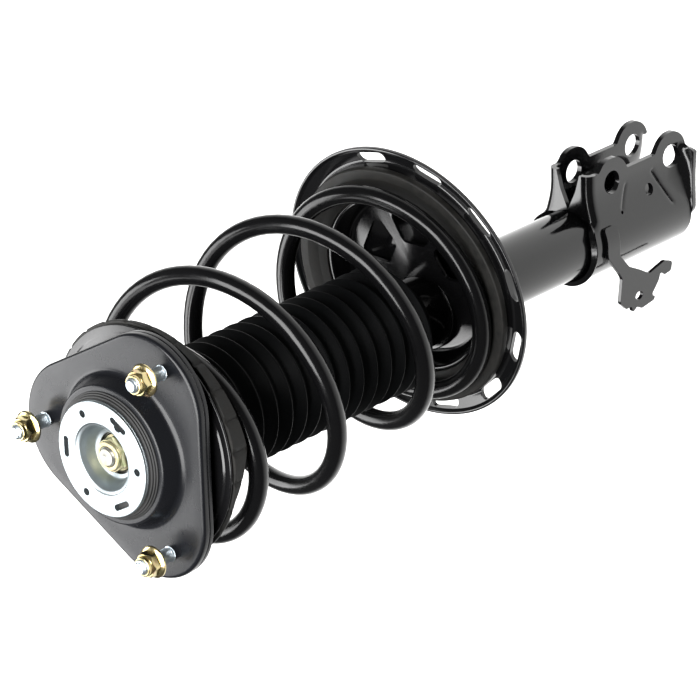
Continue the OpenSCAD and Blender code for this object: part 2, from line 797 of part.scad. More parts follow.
// Outline in the XZ plane, measured from a level just above the bracket
module hose_tab_outline() {
    translate([0, hose_level]) polygon([
        [12, -16], [-8, -16], [-24, -30], [-50, -28], [-52, -38], [-59, -40], [-57, -52],
        [-55, -74], [-42, -78], [-38, -94], [-30, -90], [-33, -66], [-26, -55], [-22, -44],
        [-8, -30], [12, -30]
    ]);
}

module brake_hose_tab() {
    foot = 4;                // how far the foot reaches in to meet the round of the bracket
    foot_x = -14;
    tall = 100;
    bottom = hose_level - tall;
    color("#121213") difference() {
        translate([0, foot - wrap_out, 0]) rotate([90, 0, 0]) linear_extrude(tab_t + foot) hose_tab_outline();
        translate([foot_x - 60, -wrap_out, bottom]) cube([60, foot + 1, tall]);
        translate([0, 0, bottom]) cylinder(r = wrap_out, h = tall);
        translate([hose_hole[0], 0, hose_hole[1]]) rotate([90, 0, 0])
            cylinder(d = tab_hole_d, h = wrap_out + tab_t + 5);
    }
}

mount_plate();
mount_lower_plate();
mount_isolator();
mount_inner_sleeve();
cover_disc();
mount_studs();
stud_nuts();
rod_nut();
rod_washer();
lower_washer();
bearing_upper_race();
bearing_balls();
bearing_lower_race();
upper_spring_seat();
upper_insulator();
coil_spring();
dust_boot();
bump_stop();
bump_cap();
piston_rod();
rebound_stop();
piston();
piston_band();
piston_nut();
strut_tube();
inner_cylinder();
rod_guide();
oil_seal();
base_valve();
tube_end_cap();
lower_spring_seat();
lower_insulator();
knuckle_bracket();
brake_hose_tab();
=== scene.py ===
# %% [markdown]
# # A suspension strut, finished in Blender
#
# A strut holds a car's wheel up and lets it move. From the top it has a rubber mount that
# bolts to the body, a coil spring between two pressed seats, a damper with a bellows over
# its rod, and a two-eared bracket that clamps the knuckle.
#
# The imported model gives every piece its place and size. Here each visible piece gets its
# true surface: rolled edges, threads, folds and paint. Everything is in metres and in the
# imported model's own frame: Z runs up the damper's axis, and X points to the bracket's ears.

# %% Load the frame
import json
import math

import bmesh
import bpy
from mathutils import Matrix, Vector


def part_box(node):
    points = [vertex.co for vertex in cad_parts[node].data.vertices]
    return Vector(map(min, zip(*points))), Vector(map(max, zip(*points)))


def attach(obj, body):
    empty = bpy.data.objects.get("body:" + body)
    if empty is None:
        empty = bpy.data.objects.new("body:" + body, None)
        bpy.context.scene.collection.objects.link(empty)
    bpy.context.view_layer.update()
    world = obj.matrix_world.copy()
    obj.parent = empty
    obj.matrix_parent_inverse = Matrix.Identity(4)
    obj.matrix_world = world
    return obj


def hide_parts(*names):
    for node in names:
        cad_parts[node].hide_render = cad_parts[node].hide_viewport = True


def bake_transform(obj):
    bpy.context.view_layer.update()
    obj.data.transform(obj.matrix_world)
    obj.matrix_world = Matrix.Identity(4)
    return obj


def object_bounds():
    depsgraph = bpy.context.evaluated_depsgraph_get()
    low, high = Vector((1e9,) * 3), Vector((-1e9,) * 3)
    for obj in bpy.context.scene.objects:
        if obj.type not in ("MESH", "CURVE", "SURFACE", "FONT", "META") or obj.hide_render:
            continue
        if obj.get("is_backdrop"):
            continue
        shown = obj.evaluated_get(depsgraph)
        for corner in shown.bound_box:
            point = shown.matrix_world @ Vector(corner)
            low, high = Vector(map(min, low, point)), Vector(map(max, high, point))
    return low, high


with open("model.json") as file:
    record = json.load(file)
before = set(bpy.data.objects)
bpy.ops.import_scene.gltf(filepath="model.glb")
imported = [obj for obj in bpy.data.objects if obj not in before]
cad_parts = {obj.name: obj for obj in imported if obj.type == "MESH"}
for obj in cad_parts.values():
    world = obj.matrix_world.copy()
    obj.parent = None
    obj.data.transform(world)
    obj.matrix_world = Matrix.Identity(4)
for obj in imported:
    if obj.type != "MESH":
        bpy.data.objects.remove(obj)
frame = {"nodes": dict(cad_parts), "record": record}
cad_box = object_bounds()
NODES = frame["nodes"]
RECORD = frame["record"]
MM = 0.001
TURN = 2 * math.pi
BODY_OF = {node: body for body, nodes in RECORD["behaviour"]["bodies"].items() for node in nodes}
SLOT_OF = {row["node"]: row["material_slot"] for row in RECORD["subparts"]}


def span(node):
    """Lowest and highest corner of a CAD node, in millimetres."""
    low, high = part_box(node)
    return low / MM, high / MM


# %% [markdown]
# ## Camera, floor and light
#
# The strut stands upright in its own frame, and the camera looks steeply down on it and is
# rolled over, so that the top mount comes towards the viewer at the lower left. A long lens
# keeps the perspective flat. Black gloss paint has almost no colour of its own and shows only
# what it reflects. So the floor is bright white, the room above it is dim, and the light comes
# from one large softbox overhead, a small one behind, and a lamp that washes the floor there.

# %% Camera
CAMERA_PLACE = Vector((1.0642, -1.6726, 1.5999))
CAMERA_RIGHT = Vector((-0.0250, -0.7433, -0.6685))
CAMERA_DOWN = Vector((-0.9176, -0.2483, 0.3104))
LENS_MM = 200.57

right = CAMERA_RIGHT.normalized()
up = (-CAMERA_DOWN).normalized()
back = right.cross(up).normalized()
up = back.cross(right)
turn = Matrix((right, up, back)).transposed().to_4x4()
camera_data = bpy.data.cameras.new("camera")
camera_data.lens = LENS_MM
camera_data.sensor_width = 36
camera = bpy.data.objects.new("camera", camera_data)
camera.matrix_world = Matrix.Translation(CAMERA_PLACE) @ turn
bpy.context.scene.collection.objects.link(camera)
bpy.context.scene.camera = camera
bpy.context.scene.view_settings.view_transform = "Standard"
print("camera distance:", round(CAMERA_PLACE.length, 3), "m")

# %% Colour and node helpers


def colour(text, alpha=1.0):
    """An sRGB hex colour such as '8a8d90', as the linear values that shaders use."""
    values = [int(text[i : i + 2], 16) / 255 for i in (0, 2, 4)]
    linear = [v / 12.92 if v <= 0.04045 else ((v + 0.055) / 1.055) ** 2.4 for v in values]
    return (*linear, alpha)


def add(material, kind, settings=None, links=None, **attributes):
    """Adds one shader node, with its input values, its incoming links and its options."""
    node = material.node_tree.nodes.new(kind)
    for key, value in attributes.items():
        setattr(node, key, value)
    for key, value in (settings or {}).items():
        node.inputs[key].default_value = value
    for key, source in (links or {}).items():
        material.node_tree.links.new(source, node.inputs[key])
    return node


def new_material(name):
    """An empty node material and its output node."""
    material = bpy.data.materials.new(name)
    material.use_nodes = True
    material.node_tree.nodes.clear()
    output = add(material, "ShaderNodeOutputMaterial")
    return material, output


def finish_material(material, output, shader):
    """Joins the shader to the output."""
    material.node_tree.links.new(shader.outputs[0], output.inputs["Surface"])
    return material


# %% Floor and light
FLOOR_DROP = 0.45  # the floor lies well below the strut, so no shadow falls in view
ROOM_LIGHT = 0.12
bpy.ops.object.select_all(action="DESELECT")
bpy.ops.mesh.primitive_plane_add(size=40, location=(0, 0, cad_box[0][2] - FLOOR_DROP))
floor = bpy.context.object
floor.name = "floor"
floor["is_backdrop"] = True
paper, output = new_material("white backdrop paper")
matt = add(paper, "ShaderNodeBsdfDiffuse", {"Color": colour("f4f4f3")})
finish_material(paper, output, matt)
floor.data.materials.append(paper)

world = bpy.data.worlds.new("white studio room")
world.use_nodes = True
world.node_tree.nodes["Background"].inputs["Color"].default_value = colour("ffffff")
world.node_tree.nodes["Background"].inputs["Strength"].default_value = ROOM_LIGHT
bpy.context.scene.world = world


def softbox(name, place, size, power, aim=(0, 0, -0.28)):
    """A square light, sized in metres, that faces the middle of the strut or another aim."""
    data = bpy.data.lights.new(name, "AREA")
    data.size = size
    data.energy = power
    light = bpy.data.objects.new(name, data)
    light.location = place
    light.rotation_euler = (Vector(aim) - Vector(place)).to_track_quat("-Z", "Z").to_euler()
    bpy.context.scene.collection.objects.link(light)


softbox("overhead_softbox", (0.1, -0.2, 2.2), 2.4, 215)
softbox("rear_softbox", (-1.3, 1.9, 2.4), 1.2, 14)
# The tube's upper side mirrors the patch of floor that this lamp lights.
softbox("floor_wash", (-0.3, 1.1, 0.5), 1.0, 22, aim=(-0.3, 1.0, -1.0))

# %% [markdown]
# ## Modelling helpers
#
# Almost every piece of a strut is turned, drawn or pressed, so its shape is a row of rings.
# One way is to draw a profile and spin it. Here a circle is added and extruded ring by ring
# instead, because a ring needn't stay round: the same helper then makes the three-cornered
# plate, the hexagon of a nut, a screw thread and the spring's wire.

# %% Rings and lofts
JOIN = 0.01 * MM  # points closer than this are the same point
AXIS = 0.002  # radius that stands for the axis itself, in millimetres
SMOOTH_ANGLE = math.radians(38)


def choose(piece):
    """Selects one object and nothing else."""
    bpy.ops.object.select_all(action="DESELECT")
    bpy.context.view_layer.objects.active = piece
    piece.select_set(True)


def tidy(piece):
    """Merges double points, turns every face outwards and smooths all but the real edges."""
    choose(piece)
    bpy.ops.object.mode_set(mode="EDIT")
    bpy.ops.mesh.select_all(action="SELECT")
    bpy.ops.mesh.remove_doubles(threshold=JOIN)
    bpy.ops.mesh.normals_make_consistent(inside=False)
    bpy.ops.object.mode_set(mode="OBJECT")
    bpy.ops.object.shade_smooth_by_angle(angle=SMOOTH_ANGLE)


def loft(name, rings, capped=False):
    """Extrudes a circle ring by ring and puts each ring's points in their places, in mm."""
    bpy.ops.object.select_all(action="DESELECT")
    count = len(rings[0])
    fill = "NGON" if capped else "NOTHING"
    bpy.ops.mesh.primitive_circle_add(vertices=count, radius=MM, fill_type=fill)
    piece = bpy.context.object
    piece.name = piece.data.name = name
    bpy.ops.object.mode_set(mode="EDIT")
    mesh = bmesh.from_edit_mesh(piece.data)
    for index, ring in enumerate(rings):
        if index:
            bpy.ops.mesh.extrude_region()
        mesh.verts.ensure_lookup_table()
        for vertex, point in zip(mesh.verts[-count:], ring):
            vertex.co = Vector(point) * MM
    bpy.ops.object.mode_set(mode="OBJECT")
    tidy(piece)
    print(name, len(piece.data.polygons), "faces")
    return piece


def at(value, az):
    """A number, or the value of a function at an azimuth."""
    return value(az) if callable(value) else value


def around(radius, height, sides):
    """One ring about the Z axis."""
    ring = []
    for i in range(sides):
        az = TURN * i / sides
        r = max(at(radius, az), AXIS)
        ring.append((r * math.cos(az), r * math.sin(az), at(height, az)))
    return ring


def turned(name, profile, sides=96, closed=True):
    """A piece turned about the Z axis from a profile of (radius, height)."""
    rings = [around(radius, height, sides) for radius, height in profile]
    if closed:
        rings.append(rings[0])
    return loft(name, rings)


def rounded(corners, closed=True, steps=4):
    """A line whose corners, given as (x, y, rounding), are replaced by arcs."""
    points = []
    last = len(corners) - 1
    for i, (x, y, size) in enumerate(corners):
        if not size or (not closed and i in (0, last)):
            points.append((x, y))
            continue
        corner = Vector((x, y))
        before = Vector(corners[i - 1][:2]) - corner
        after = Vector(corners[(i + 1) % len(corners)][:2]) - corner
        half = before.angle(after) / 2
        reach = min(size / math.tan(half), 0.48 * before.length, 0.48 * after.length)
        radius = reach * math.tan(half)
        before.normalize()
        after.normalize()
        middle = corner + (before + after).normalized() * (radius / math.sin(half))
        start, end = corner + before * reach - middle, corner + after * reach - middle
        for k in range(steps + 1):
            point = middle + start.lerp(end, k / steps).normalized() * radius
            points.append((point.x, point.y))
    return points


def smoothstep(low, high, x):
    """Climbs softly from 0 at low to 1 at high."""
    t = min(max((x - low) / (high - low), 0), 1)
    return t * t * (3 - 2 * t)


def table(rows, x):
    """Reads a value from rows of (x, value), in a straight line between two rows."""
    if x <= rows[0][0]:
        return rows[0][1]
    for (x0, v0), (x1, v1) in zip(rows, rows[1:]):
        if x <= x1:
            return v0 + (v1 - v0) * (x - x0) / (x1 - x0)
    return rows[-1][1]


# %% Cuts, copies and places


def modified(piece, kind, **settings):
    """Adds a modifier with its settings and applies it."""
    choose(piece)
    modifier = piece.modifiers.new(kind.lower(), kind)
    for key, value in settings.items():
        setattr(modifier, key, value)
    bpy.ops.object.modifier_apply(modifier=modifier.name)


def cut(piece, cutters):
    """Takes the cutters out of a piece and deletes them."""
    choose(cutters[0])
    for cutter in cutters[1:]:
        cutter.select_set(True)
    if len(cutters) > 1:
        bpy.ops.object.join()
    cutter = bpy.context.object
    modified(piece, "BOOLEAN", operation="DIFFERENCE", solver="EXACT", object=cutter)
    bpy.data.objects.remove(cutter)
    choose(piece)
    bpy.ops.object.shade_smooth_by_angle(angle=SMOOTH_ANGLE)
    print(piece.name, "after cutting:", len(piece.data.polygons), "faces")
    return piece


def placed(piece, matrix):
    """Moves a piece's mesh and leaves its object at the origin."""
    piece.data.transform(matrix)
    return piece


def copied(piece, name, matrix):
    """A copy with a mesh of its own, moved by a matrix."""
    twin = piece.copy()
    twin.data = piece.data.copy()
    twin.name = twin.data.name = name
    bpy.context.scene.collection.objects.link(twin)
    return placed(twin, matrix)


def install(piece, material, node, rides=True):
    """Gives a piece its material and lets it stand for a CAD node, on that node's body."""
    piece.data.materials.clear()
    piece.data.materials.append(material)
    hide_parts(node)
    if rides:
        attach(piece, BODY_OF[node])


def outwards(out, az):
    """The shift from the Z axis to a distance and an azimuth."""
    return Matrix.Translation(Vector((out * math.cos(az), out * math.sin(az), 0)) * MM)


def post(name, radius, out, az, low, high, sides=48):
    """An upright cylinder that cuts a hole, at a distance from the Z axis."""
    piece = turned(name, [(0, low), (radius, low), (radius, high), (0, high)], sides, closed=False)
    return placed(piece, outwards(out, az))


def slot_cutter(name, middle, half_width, half_length, azimuth, low, high, rounding):
    """Cuts a slot with round corners that follows a circle of radius middle."""
    size = [(-half_length, -half_width), (half_length, -half_width),
            (half_length, half_width), (-half_length, half_width)]
    rings = []
    for height in (low, high):
        ring = []
        for along, out in rounded([(a, o, rounding) for a, o in size], steps=6):
            az = azimuth + along / middle
            ring.append(((middle + out) * math.cos(az), (middle + out) * math.sin(az), height))
        rings.append(ring)
    return loft(name, rings, capped=True)


# %% [markdown]
# ## Finishes
#
# Each finish starts from what the surface is: which metal, paint or rubber, and how it was
# made. Most of them are one even colour with a fine texture that breaks up the reflections,
# so one function builds them from a few values: the size of the grain in millimetres, its
# depth, and how far colour and roughness wander from place to place.

# %% A grained finish
RAMP_EDGE = 0.14  # half the width of the change between two colours, as a share of the noise


def grained(name, base, roughness, grain, metallic=0.0, gloss=0.5, wander=0.0, patch=18.0,
            second=None):
    """A Principled finish with bumpy grain and soft patches, both sized in millimetres.

    grain is (size, depth). wander is how far roughness strays from patch to patch, and
    second is a colour that the patches fade to.
    """
    material, output = new_material(name)
    where = add(material, "ShaderNodeTexCoord").outputs["Object"]
    shader = add(material, "ShaderNodeBsdfPrincipled", {
        "Base Color": colour(base), "Roughness": roughness, "Metallic": metallic,
        "Specular IOR Level": gloss,
    })
    if wander or second:
        patches = add(material, "ShaderNodeTexNoise",
                      {"Scale": 1 / (patch * MM), "Detail": 3.0, "Roughness": 0.55},
                      {"Vector": where})
    if wander:
        rough = add(material, "ShaderNodeMapRange",
                    {"From Min": 0.3, "From Max": 0.7,
                     "To Min": roughness - wander, "To Max": roughness + wander},
                    {"Value": patches.outputs["Fac"]})
        material.node_tree.links.new(rough.outputs["Result"], shader.inputs["Roughness"])
    if second:
        ramp = add(material, "ShaderNodeValToRGB", None, {"Fac": patches.outputs["Fac"]})
        ramp.color_ramp.elements[0].position = 0.5 - RAMP_EDGE
        ramp.color_ramp.elements[0].color = colour(base)
        ramp.color_ramp.elements[1].position = 0.5 + RAMP_EDGE
        ramp.color_ramp.elements[1].color = colour(second)
        material.node_tree.links.new(ramp.outputs["Color"], shader.inputs["Base Color"])
    size, depth = grain
    noise = add(material, "ShaderNodeTexNoise",
                {"Scale": 1 / (size * MM), "Detail": 2.0}, {"Vector": where})
    bump = add(material, "ShaderNodeBump", {"Distance": depth * MM},
               {"Height": noise.outputs["Fac"]})
    material.node_tree.links.new(bump.outputs["Normal"], shader.inputs["Normal"])
    return finish_material(material, output, shader)


# %% Paints and coats
# Cathodic dip paint on pressed steel dries satin, with a faint orange peel 1.2 mm across.
plate_paint = grained("satin dip paint", "111215", 0.26, (1.2, 0.012), gloss=0.3, wander=0.04)
# The tube, seats and bracket are dipped twice and come out glossy; runs level out over 3 mm.
gloss_paint = grained("gloss dip paint", "0e0e0f", 0.13, (2.6, 0.01), gloss=0.45, wander=0.03,
                      patch=30)
# Powder melted on the spring's wire is thicker and rounder, with a soft peel.
spring_coat = grained("spring powder coat", "0a0a0b", 0.18, (1.6, 0.02), gloss=0.32, wander=0.04)

# %% Rubbers and foam
# Moulded natural rubber is matt, and bloom leaves faint grey patches on it.
mount_rubber = grained("mount rubber", "161616", 0.55, (0.5, 0.02), gloss=0.35, wander=0.08,
                       second="222222")
pad_rubber = grained("insulator rubber", "121211", 0.6, (0.7, 0.04), gloss=0.25, wander=0.08,
                     patch=6, second="1c1b19")
# A blown bellows is smoother than a moulded block, and very dark.
boot_rubber = grained("bellows rubber", "08090a", 0.45, (0.6, 0.01), gloss=0.1, wander=0.05)
seal_rubber = grained("nitrile seal rubber", "111112", 0.5, (0.4, 0.01), gloss=0.35)
# Microcellular urethane has a skin of tiny burst bubbles.
foam = grained("microcellular urethane", "c9b98a", 0.8, (0.8, 0.1), gloss=0.2, second="b8a676")

# %% Metals and plastics
# Zinc plate passivated blue-white over rolled steel: bright, slightly blue, a fine satin.
white_zinc = grained("blue-white zinc plate", "a5adb0", 0.4, (0.9, 0.008), metallic=1.0,
                     wander=0.05)
# The studs are cold headed before plating, so they keep a smoother, bluer shine.
stud_zinc = grained("zinc on cold-formed stud", "d6e2ea", 0.36, (0.5, 0.006), metallic=1.0,
                    wander=0.05)
# Turned steel keeps its tool marks and a breath of oil, which goes slightly brown.
plain_steel = grained("machined steel", "a8a7a2", 0.34, (0.3, 0.006), metallic=1.0, wander=0.06,
                      patch=8, second="8e8b80")
# Balls, races and the rod are ground; drawn and sintered steel stays duller and rougher.
bearing_steel = grained("ground bearing steel", "c4c6c8", 0.14, (0.2, 0.001), metallic=1.0)
drawn_steel = grained("cold-drawn steel", "9b9c9e", 0.3, (0.4, 0.003), metallic=1.0, wander=0.05)
chrome = grained("ground hard chrome", "d6d8da", 0.08, (0.2, 0.0005), metallic=1.0)
sintered = grained("sintered iron", "6e6e70", 0.55, (0.25, 0.02), metallic=1.0, wander=0.06)
# The piston's band is a filled, slippery plastic. The stop and the cap are moulded.
band = grained("filled PTFE band", "3c3a38", 0.5, (0.3, 0.005))
nylon = grained("moulded nylon", "5a5a5e", 0.42, (0.5, 0.004), wander=0.04)
cap_plastic = grained("moulded polyamide", "2b2b2d", 0.4, (0.5, 0.006), wander=0.04)

# %% [markdown]
# ### Yellow zinc
#
# Yellow passivated zinc isn't one yellow: the film is a fraction of a micron thick and its
# colour swings between straw, rose and green as the thickness changes. A slow noise read
# through a colour ramp gives those bands.

# %% Yellow zinc


def yellow_zinc(name, straw, rose, green, patch, roughness):
    """Zinc under a chromate film whose colour changes every few millimetres."""
    material, output = new_material(name)
    where = add(material, "ShaderNodeTexCoord").outputs["Object"]
    film = add(material, "ShaderNodeTexNoise",
               {"Scale": 1 / (patch * MM), "Detail": 2.0, "Distortion": 0.6}, {"Vector": where})
    ramp = add(material, "ShaderNodeValToRGB", None, {"Fac": film.outputs["Fac"]})
    stops = ramp.color_ramp.elements
    stops[0].position, stops[0].color = 0.3, colour(green)
    stops[1].position, stops[1].color = 0.72, colour(rose)
    middle = stops.new(0.47)
    middle.color = colour(straw)
    end = stops.new(0.6)
    end.color = colour(straw)
    fine = add(material, "ShaderNodeTexNoise", {"Scale": 1 / (0.5 * MM)}, {"Vector": where})
    bump = add(material, "ShaderNodeBump", {"Distance": 0.006 * MM},
               {"Height": fine.outputs["Fac"]})
    shader = add(material, "ShaderNodeBsdfPrincipled", {"Metallic": 1.0, "Roughness": roughness},
                 {"Base Color": ramp.outputs["Color"], "Normal": bump.outputs["Normal"]})
    return finish_material(material, output, shader)


nut_zinc = yellow_zinc("yellow zinc plate", "ccbc8c", "caa283", "a3a277", 7.0, 0.2)
rod_nut_zinc = yellow_zinc("dull yellow zinc plate", "a59c7c", "9c8c6e", "858561", 6.0, 0.3)

FINISHES = {
    "satin_black_paint": plate_paint, "mount_rubber": mount_rubber, "plain_steel": plain_steel,
    "bright_zinc": white_zinc, "yellow_zinc": nut_zinc, "bearing_steel": bearing_steel,
    "gloss_black_paint": gloss_paint, "spring_coat": spring_coat, "pad_rubber": pad_rubber,
    "boot_rubber": boot_rubber, "urethane_foam": foam, "cap_plastic": cap_plastic,
    "chromed_rod": chrome, "sintered_iron": sintered, "guide_band": band,
    "stop_nylon": nylon, "drawn_steel": drawn_steel, "seal_rubber": seal_rubber,
}
for name, node in NODES.items():
    node.data.materials.clear()
    node.data.materials.append(FINISHES[SLOT_OF[name]])
print("finishes:", len(FINISHES))

# %% [markdown]
# ## Top mount
#
# The mount plate is pressed from one sheet: a triangle with round corners and a turned-down
# skirt, and a dome drawn up in the middle. Its outline is three arcs and three straight
# sides, written as a radius for each azimuth, so the sheet can be lofted like a turned
# piece. The corners of the profile are rounded, because a press can't fold steel sharply.

# %% Outline of the plate
CORNER_OUT = 43.0  # from the axis to the centre of each round corner
CORNER_R = 48.5
STUD_OUT = 74.5
STUD_AZ = [math.radians(a) for a in (90, 210, 330)]


def triangle(outset):
    """Radius of the plate's outline at each azimuth, moved out by outset millimetres."""
    r = CORNER_R + outset

    def radius(az):
        away = min(abs((az - corner + math.pi) % TURN - math.pi) for corner in STUD_AZ)
        tangent = math.atan2(r * math.sin(TURN / 6), CORNER_OUT + r * math.cos(TURN / 6))
        if away < tangent:
            across = CORNER_OUT * math.sin(away)
            return CORNER_OUT * math.cos(away) + math.sqrt(r * r - across * across)
        return (CORNER_OUT / 2 + r) / math.cos(TURN / 6 - away)

    return radius


# %% Mount plate
PLATE_T = 2.6
dome = rounded([(44.4, 13, 0), (48, 13, 1.8), (53.2, 0, 5), (60, 0, 0)], closed=False, steps=6)
edge = rounded([(-9, 0, 0), (0, 0, 3.6), (0, -5.3, 0.8), (-0.9, -5.8, 0.4), (-0.2, -6.4, 0.6),
                (-0.2, -9.5, 0.6), (-PLATE_T, -9.5, 0.5), (-PLATE_T, -PLATE_T, 1.2),
                (-9, -PLATE_T, 0)], closed=False, steps=5)
inside = [(55, -PLATE_T), (50.4, -PLATE_T), (45.5, 10.2), (44.4, 11)]
profile = dome + [(triangle(out), z) for out, z in edge] + inside
plate = turned("pressed_mount_plate", profile, sides=240)
holes = [post(f"hole_{i}", 5.5, STUD_OUT, az, -6, 3) for i, az in enumerate(STUD_AZ)]
install(cut(plate, holes), plate_paint, "mount_plate")

# %% Lower plate
flange = rounded([(-10, -PLATE_T, 0), (-2.8, -PLATE_T, 0.4), (-2.8, -2 * PLATE_T, 0.4),
                  (-10, -2 * PLATE_T, 0)], closed=False)
cup = rounded([(56, -2 * PLATE_T, 0), (50.2, -2 * PLATE_T, 1.6), (46, -16.6, 2.5), (24, -16.6, 0.4),
               (24, -14, 0.4), (44, -14, 1), (48, -PLATE_T, 0.6), (52, -PLATE_T, 0)], closed=False)
profile = [(triangle(out), z) for out, z in flange] + cup
install(turned("mount_cup", profile, sides=240), plate_paint, "mount_lower_plate")

# %% [markdown]
# The rubber block is moulded between the two plates and bonded to both. Only its shoulder
# shows, between the dome and the disc, and the mould leaves three fine rings on it.

# %% Rubber block
DISC_LOW, DISC_TOP = 17.1, 20.7
profile = rounded([(19, 2, 0.5), (19, -14, 0), (44, -14, 0), (48, -PLATE_T, 0), (50.3, -PLATE_T, 0),
                   (44.4, 11, 0), (44.4, 13.9, 0.6), (43.3, 14.1, 0.3), (43.2, 15.1, 0.6),
                   (42.1, 15.3, 0.3), (41.9, 16.4, 0.6), (40.8, 16.6, 0.3), (40.4, DISC_LOW, 0),
                   (24, DISC_LOW, 0), (24, 5, 1)])
install(turned("rubber_block", profile, sides=128), mount_rubber, "mount_isolator")

# %% [markdown]
# ### Plated disc
#
# The disc is stamped: three curved slots, three round holes, and a funnel that leads down to
# the nut. It's turned from its profile first. Then the slots and holes are cut by a Boolean,
# each cutter shaped like the punch that made it.

# %% Disc
profile = rounded([(40, DISC_TOP, 0.6), (40, 19.2, 0.2), (39.4, 18.9, 0.2), (40, 18.6, 0.2),
                   (40, DISC_LOW, 0.5), (24, DISC_LOW, 0.5), (20.8, 13, 3), (18.6, 7.4, 2),
                   (14.6, 6.6, 0.3), (14.6, 7.8, 0.3), (17.6, 8.6, 2.5), (20.4, 15.4, 5),
                   (22.4, 19.2, 3), (24.4, 20.0, 0.6), (25.2, DISC_TOP, 0.4)], steps=5)
disc = turned("plated_disc", profile, sides=180)
PUNCH_LOW, PUNCH_HIGH = 15, 23
cutters = []
for i, az in enumerate(STUD_AZ):
    cutters.append(slot_cutter(f"slot_{i}", 33.3, 2.2, 7.6, az, PUNCH_LOW, PUNCH_HIGH, 2.19))
    cutters.append(post(f"hole_{i}", 2.7, 32.2, az + TURN / 6, PUNCH_LOW, PUNCH_HIGH, 32))
disc = cut(disc, cutters)
KEY_AZ = math.radians(329.2)  # one slot is widened by a round locating hole
key = post("key_hole", 3.3, 31.7, KEY_AZ, PUNCH_LOW, PUNCH_HIGH, 32)
install(cut(disc, [key]), white_zinc, "cover_disc")

# %% Paint mark
# An inspector's dot of paint, brushed on by hand and nearly dry, so it's flat and uneven.
profile = [(0, DISC_TOP), (lambda az: 1.7 + 0.3 * math.sin(3 * az), DISC_TOP),
           (1.2, DISC_TOP + 0.08), (0, DISC_TOP + 0.1)]
dot = turned("paint_mark", profile, sides=24, closed=False)
placed(dot, outwards(33.1, math.radians(54.8)))
marking_paint = grained("teal marking paint", "86bdb9", 0.5, (0.4, 0.01), patch=1.5,
                        second="a9cfca")
dot.data.materials.append(marking_paint)
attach(dot, "top_mount")

# %% [markdown]
# ### Studs and nuts
#
# A thread is a ridge that climbs by one pitch in each turn. Each ring of the stud is lofted
# with a radius that depends on height and azimuth together, which gives a true helix. The
# nut is the smaller of a hexagon and a cone at every azimuth: where the cone is smaller it
# cuts the curved chamfers that a nut has on its corners. Both are made once and copied.

# %% Threads and hexagons
PITCH = 1.5


def thread(core, crest, height):
    """Radius of a screw thread at each azimuth of the ring at this height."""
    return lambda az: crest - (crest - core) * abs(2 * ((height / PITCH - az / TURN) % 1) - 1)


def thread_rings(core, crest, low, high, per_pitch=6):
    """The rings of a threaded length, from low to high."""
    count = round((high - low) / PITCH * per_pitch)
    heights = [low + (high - low) * i / count for i in range(count + 1)]
    return [(thread(core, crest, z), z) for z in heights]


def hexagon(across, limit=1000.0):
    """Radius of a hexagon by its width across flats, cut off at a limit."""
    corner = across / 2 / math.cos(TURN / 12) - 0.25
    return lambda az: min(across / 2 / math.cos(az % (TURN / 6) - TURN / 12), corner, limit)


# %% One piece at each corner


def at_each_corner(piece, stem, material, node):
    """Copies a piece made at the origin, and installs one at each corner of the plate."""
    first, *others = [Matrix.Rotation(az, 4, "Z") @ outwards(STUD_OUT, 0) for az in STUD_AZ]
    pieces = [piece] + [copied(piece, f"{stem}_{i}", place) for i, place in enumerate(others, 2)]
    placed(piece, first)
    for each in pieces:
        install(each, material, node)


# %% Studs
profile = [(0, -8.2), (7.6, -8.2), (8, -7.8), (8, -2 * PLATE_T), (5.5, -2 * PLATE_T), (5.5, -0.3),
           (5.2, 0), (4.2, 0.3)]
profile += thread_rings(4.2, 5.0, 0.8, 26.9) + [(4.1, 27.3), (3.5, 28), (1.5, 28), (0, 27)]
stud = turned("stud_1", profile, sides=36, closed=False)
at_each_corner(stud, "stud", stud_zinc, "mount_studs")

# %% Flanged nuts


def flanged_nut(name, low, flange, across, shoulder, collar_r, top, bore):
    """A hexagon nut with a round flange below and a round collar above."""
    flange_r, flange_t = flange
    half = across / 2
    profile = rounded([(bore, low, 0.3), (flange_r, low, 0.4),
                       (flange_r, low + flange_t * 0.6, 0.5)], closed=False)
    profile += [(flange_r - 0.5, low + flange_t * 0.85), (half + 1.6, low + flange_t + 0.2)]
    profile += [(hexagon(across, half + 1.5), low + flange_t + 0.5)]
    profile += [(hexagon(across), low + flange_t + 0.9)]
    for drop in (2.2, 1.6, 1.1, 0.7, 0.35, 0.0):
        profile.append((hexagon(across, half - 0.1 + drop * 0.9), shoulder - drop))
    profile += rounded([(collar_r + 0.3, shoulder, 0), (collar_r, shoulder + 0.3, 0),
                        (collar_r, top, 0.7), (bore, top, 0.5), (bore, top - 2, 0)], closed=False)
    return turned(name, profile)


nut = flanged_nut("nut_1", 14.2, (11.2, 2.0), 16, 22.6, 6.8, 25.5, 5.0)
at_each_corner(nut, "nut", nut_zinc, "stud_nuts")
rod_nut = flanged_nut("rod_end_nut", 4.5, (13.5, 2.0), 22, 13.5, 10.2, 15.5, 7.0)
install(rod_nut, rod_nut_zinc, "rod_nut")

# %% [markdown]
# ## Piston rod
#
# One ground bar from the thread in the mount down to the piston. Its chromed length hides in
# the bellows, and only the threaded end shows, down in the disc's well, so the whole bar gets
# the plain steel of its thread.

# %% Piston rod
rod_low = span("piston_rod")[0].z
piston_top = rod_low + 27
profile = [(0, rod_low), (5.5, rod_low), (6, rod_low + 0.5), (6, piston_top), (10.6, piston_top),
           (11, piston_top + 0.4), (11, -19.1), (10.4, -18.5), (7, -18.5), (7, 1)]
profile += thread_rings(6.1, 7.0, 2, 15.8) + [(6.1, 16.4), (5.6, 17), (1.4, 17), (0, 16.2)]
install(turned("ground_rod", profile, sides=64, closed=False), plain_steel, "piston_rod")

